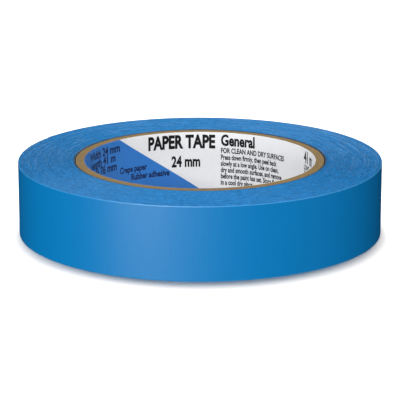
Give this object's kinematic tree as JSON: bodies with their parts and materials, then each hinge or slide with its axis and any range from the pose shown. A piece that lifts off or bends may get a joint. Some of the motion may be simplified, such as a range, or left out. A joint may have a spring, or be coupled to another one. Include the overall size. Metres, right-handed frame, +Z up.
{
  "type": "masking tape roll",
  "caption": "Roll of blue crepe masking tape wound on a paperboard core with a printed bore, with a free end that peels off the outside.",
  "frame": {"origin": "on the roll's axis, in the plane of the flat face that the roll lies on", "axes": "+Z up along the roll's axis; +Y towards the line where the free end leaves the roll"},
  "size_m": [0.1199, 0.12, 0.024],
  "materials": {
    "crepe_tape": "satin crepe paper",
    "core_board": "raw grey-brown core board",
    "printed_paper": "smooth printed white paper"
  },
  "bodies": {
    "roll": {"printed_liner": "printed_paper", "core_ply_1": "core_board", "core_ply_2": "core_board", "core_ply_3": "core_board", "core_ply_4": "core_board", "core_ply_5": "core_board", "tape_winding": "crepe_tape"},
    "end_segment_1": {"tape_end_1": "crepe_tape"},
    "end_segment_2": {"tape_end_2": "crepe_tape"},
    "end_segment_3": {"tape_end_3": "crepe_tape"},
    "end_segment_4": {"tape_end_4": "crepe_tape"},
    "end_segment_5": {"tape_end_5": "crepe_tape"}
  },
  "joints": [
    {"name": "tape_end_peel", "type": "hinge", "parent": "roll", "child": "end_segment_1", "pos_m": [0, 0.05985, 0], "axis": [0, 0, -1], "range_deg": [0, 50]},
    {"name": "tape_end_curl_2", "type": "hinge", "parent": "end_segment_1", "child": "end_segment_2", "pos_m": [-0.01244, 0.05854, 0], "axis": [0, 0, -1], "range_deg": [0, 15]},
    {"name": "tape_end_curl_3", "type": "hinge", "parent": "end_segment_2", "child": "end_segment_3", "pos_m": [-0.02434, 0.05468, 0], "axis": [0, 0, -1], "range_deg": [0, 15]},
    {"name": "tape_end_curl_4", "type": "hinge", "parent": "end_segment_3", "child": "end_segment_4", "pos_m": [-0.03518, 0.04842, 0], "axis": [0, 0, -1], "range_deg": [0, 15]},
    {"name": "tape_end_curl_5", "type": "hinge", "parent": "end_segment_4", "child": "end_segment_5", "pos_m": [-0.04448, 0.04005, 0], "axis": [0, 0, -1], "range_deg": [0, 15]}
  ],
  "couplings": [
    {"joint": "tape_end_curl_2", "follows": "tape_end_peel", "ratio": 0.3},
    {"joint": "tape_end_curl_3", "follows": "tape_end_peel", "ratio": 0.3},
    {"joint": "tape_end_curl_4", "follows": "tape_end_peel", "ratio": 0.3},
    {"joint": "tape_end_curl_5", "follows": "tape_end_peel", "ratio": 0.3}
  ]
}
